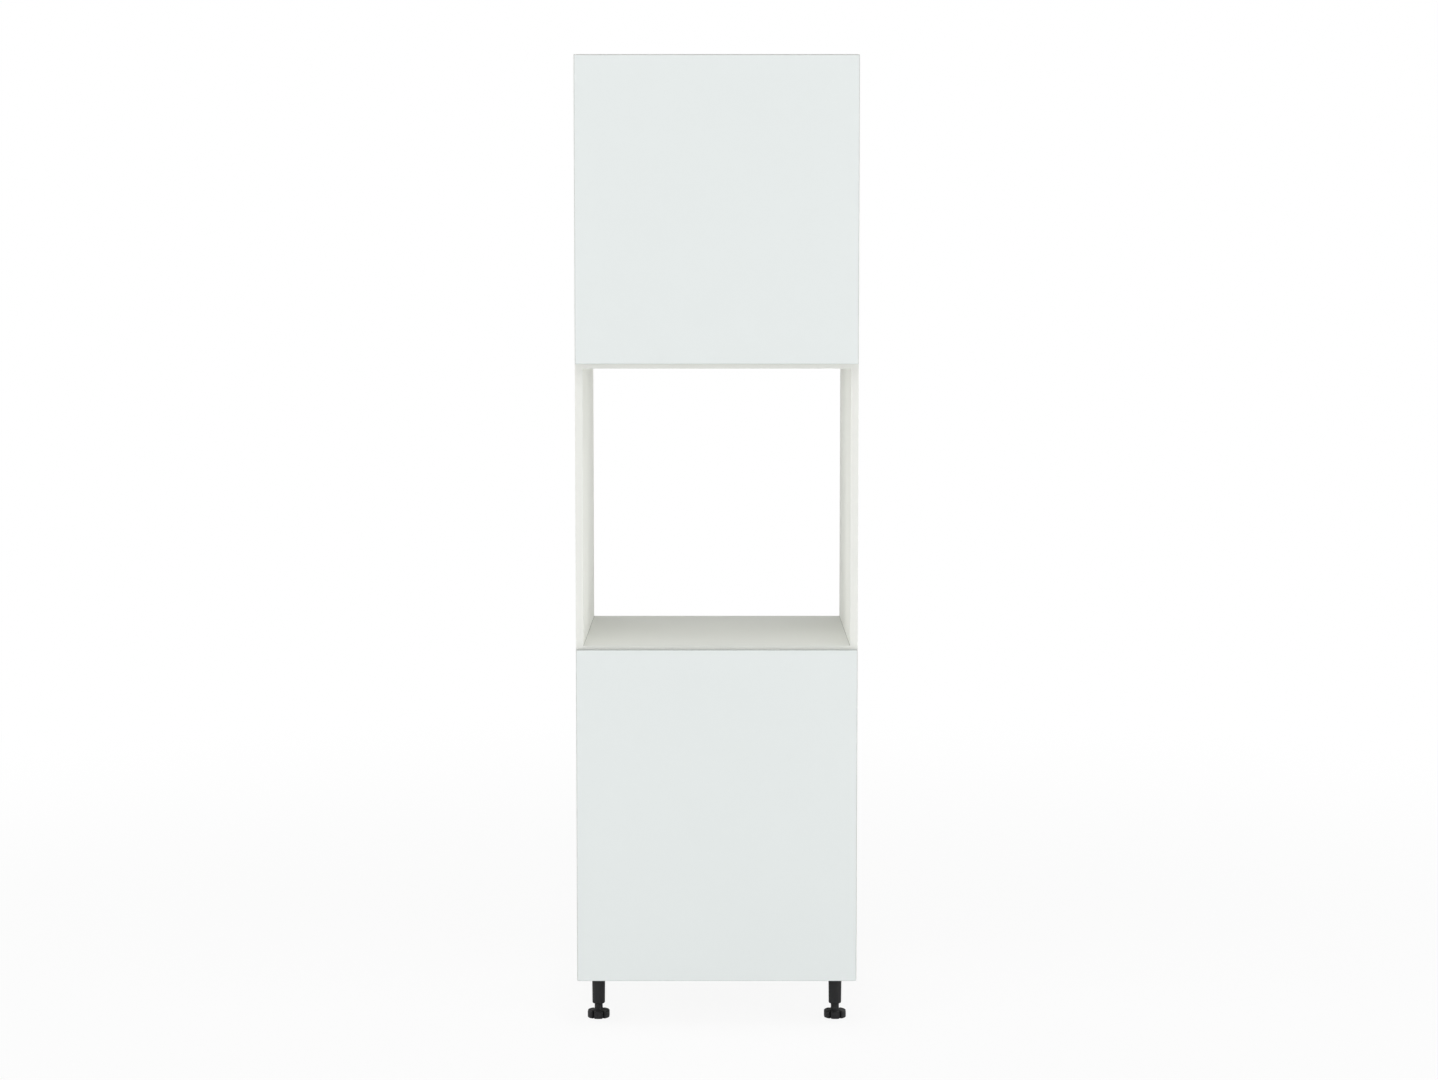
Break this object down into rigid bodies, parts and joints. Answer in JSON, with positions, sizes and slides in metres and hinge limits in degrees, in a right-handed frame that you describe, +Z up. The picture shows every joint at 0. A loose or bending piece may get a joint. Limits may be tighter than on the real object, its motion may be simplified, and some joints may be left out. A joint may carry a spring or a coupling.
{
  "type": "tall oven housing unit",
  "caption": "Tall kitchen cabinet on adjustable legs with an open-backed oven niche between an upper and a lower compartment, each closed by a flat handleless door.",
  "frame": {"origin": "middle of the unit's outer box, on the floor", "axes": "+Z up, the doors face -Y, +X to the right of someone facing the doors"},
  "size_m": [0.6, 0.5806, 2.07],
  "materials": {
    "carcass_board": "warm white laminated board, satin",
    "door_board": "cool grey-white laminated board, fine satin",
    "back_board": "white lacquered fibre board",
    "plated_steel": "bright zinc plate",
    "zinc": "cast zinc, dull",
    "beech": "bare beech",
    "hinge_steel": "nickel plate",
    "black_plastic": "black moulded plastic, satin",
    "latch_plastic": "grey moulded plastic",
    "strike_steel": "white painted steel",
    "bracket_steel": "zinc plate"
  },
  "bodies": {
    "carcass": {"left_side_panel": "carcass_board", "right_side_panel": "carcass_board", "bottom_panel": "carcass_board", "top_panel": "carcass_board", "niche_floor_panel": "carcass_board", "niche_ceiling_panel": "carcass_board", "lower_shelf": "carcass_board", "upper_shelf": "carcass_board", "lower_back_panel": "back_board", "upper_back_panel": "back_board", "shelf_pins": "plated_steel", "cam_fittings": "zinc", "dowels": "beech", "lower_bottom_hinge_arm": "hinge_steel", "lower_bottom_hinge_plate": "hinge_steel", "lower_top_hinge_arm": "hinge_steel", "lower_top_hinge_plate": "hinge_steel", "upper_bottom_hinge_arm": "hinge_steel", "upper_bottom_hinge_plate": "hinge_steel", "upper_top_hinge_arm": "hinge_steel", "upper_top_hinge_plate": "hinge_steel", "legs": "black_plastic", "leg_sockets": "black_plastic", "lower_latch_housing": "latch_plastic", "upper_latch_housing": "latch_plastic", "wall_brackets": "bracket_steel"},
    "lower_outer_links": {"lower_bottom_outer_link": "hinge_steel", "lower_top_outer_link": "hinge_steel"},
    "lower_door": {"lower_door": "door_board", "lower_hinge_cups": "hinge_steel", "lower_strike_plate": "strike_steel"},
    "lower_inner_links": {"lower_bottom_inner_link": "hinge_steel", "lower_top_inner_link": "hinge_steel"},
    "lower_plunger": {"lower_latch_plunger": "latch_plastic"},
    "upper_outer_links": {"upper_bottom_outer_link": "hinge_steel", "upper_top_outer_link": "hinge_steel"},
    "upper_door": {"upper_door": "door_board", "upper_hinge_cups": "hinge_steel", "upper_strike_plate": "strike_steel"},
    "upper_inner_links": {"upper_bottom_inner_link": "hinge_steel", "upper_top_inner_link": "hinge_steel"},
    "upper_plunger": {"upper_latch_plunger": "latch_plastic"},
    "front_left_foot": {"front_left_foot": "black_plastic"},
    "front_right_foot": {"front_right_foot": "black_plastic"},
    "rear_left_foot": {"rear_left_foot": "black_plastic"},
    "rear_right_foot": {"rear_right_foot": "black_plastic"}
  },
  "joints": [
    {"name": "lower_outer_links_turn", "type": "hinge", "parent": "carcass", "child": "lower_outer_links", "pos_m": [-0.269, -0.25825, 0.4585], "axis": [0, 0, -1], "range_deg": [-18.1, 0]},
    {"name": "lower_door_hinge", "type": "hinge", "parent": "lower_outer_links", "child": "lower_door", "pos_m": [-0.289, -0.27985, 0.4585], "axis": [0, 0, -1], "range_deg": [0, 113.05]},
    {"name": "lower_inner_links_turn", "type": "hinge", "parent": "carcass", "child": "lower_inner_links", "pos_m": [-0.264, -0.28075, 0.4585], "axis": [0, 0, -1], "range_deg": [-38.05, 0]},
    {"name": "lower_plunger_slide", "type": "slide", "parent": "carcass", "child": "lower_plunger", "axis": [0, -1, 0], "range_m": [0, 0.0141]},
    {"name": "upper_outer_links_turn", "type": "hinge", "parent": "carcass", "child": "upper_outer_links", "pos_m": [-0.269, -0.25825, 1.74475], "axis": [0, 0, -1], "range_deg": [-18.1, 0]},
    {"name": "upper_door_hinge", "type": "hinge", "parent": "upper_outer_links", "child": "upper_door", "pos_m": [-0.289, -0.27985, 1.74475], "axis": [0, 0, -1], "range_deg": [0, 113.05]},
    {"name": "upper_inner_links_turn", "type": "hinge", "parent": "carcass", "child": "upper_inner_links", "pos_m": [-0.264, -0.28075, 1.74475], "axis": [0, 0, -1], "range_deg": [-38.05, 0]},
    {"name": "upper_plunger_slide", "type": "slide", "parent": "carcass", "child": "upper_plunger", "axis": [0, -1, 0], "range_m": [0, 0.0141]},
    {"name": "front_left_foot_screw", "type": "slide", "parent": "carcass", "child": "front_left_foot", "axis": [0, 0, -1], "range_m": [-0.014, 0.02]},
    {"name": "front_right_foot_screw", "type": "slide", "parent": "carcass", "child": "front_right_foot", "axis": [0, 0, -1], "range_m": [-0.014, 0.02]},
    {"name": "rear_left_foot_screw", "type": "slide", "parent": "carcass", "child": "rear_left_foot", "axis": [0, 0, -1], "range_m": [-0.014, 0.02]},
    {"name": "rear_right_foot_screw", "type": "slide", "parent": "carcass", "child": "rear_right_foot", "axis": [0, 0, -1], "range_m": [-0.014, 0.02]}
  ],
  "couplings": [
    {"joint": "lower_outer_links_turn", "follows": "lower_door_hinge", "ratio": -0.15966},
    {"joint": "lower_inner_links_turn", "follows": "lower_door_hinge", "ratio": -0.33613},
    {"joint": "lower_plunger_slide", "follows": "lower_door_hinge", "m_per_rad": 0.0071},
    {"joint": "upper_outer_links_turn", "follows": "upper_door_hinge", "ratio": -0.15966},
    {"joint": "upper_inner_links_turn", "follows": "upper_door_hinge", "ratio": -0.33613},
    {"joint": "upper_plunger_slide", "follows": "upper_door_hinge", "m_per_rad": 0.0071}
  ]
}
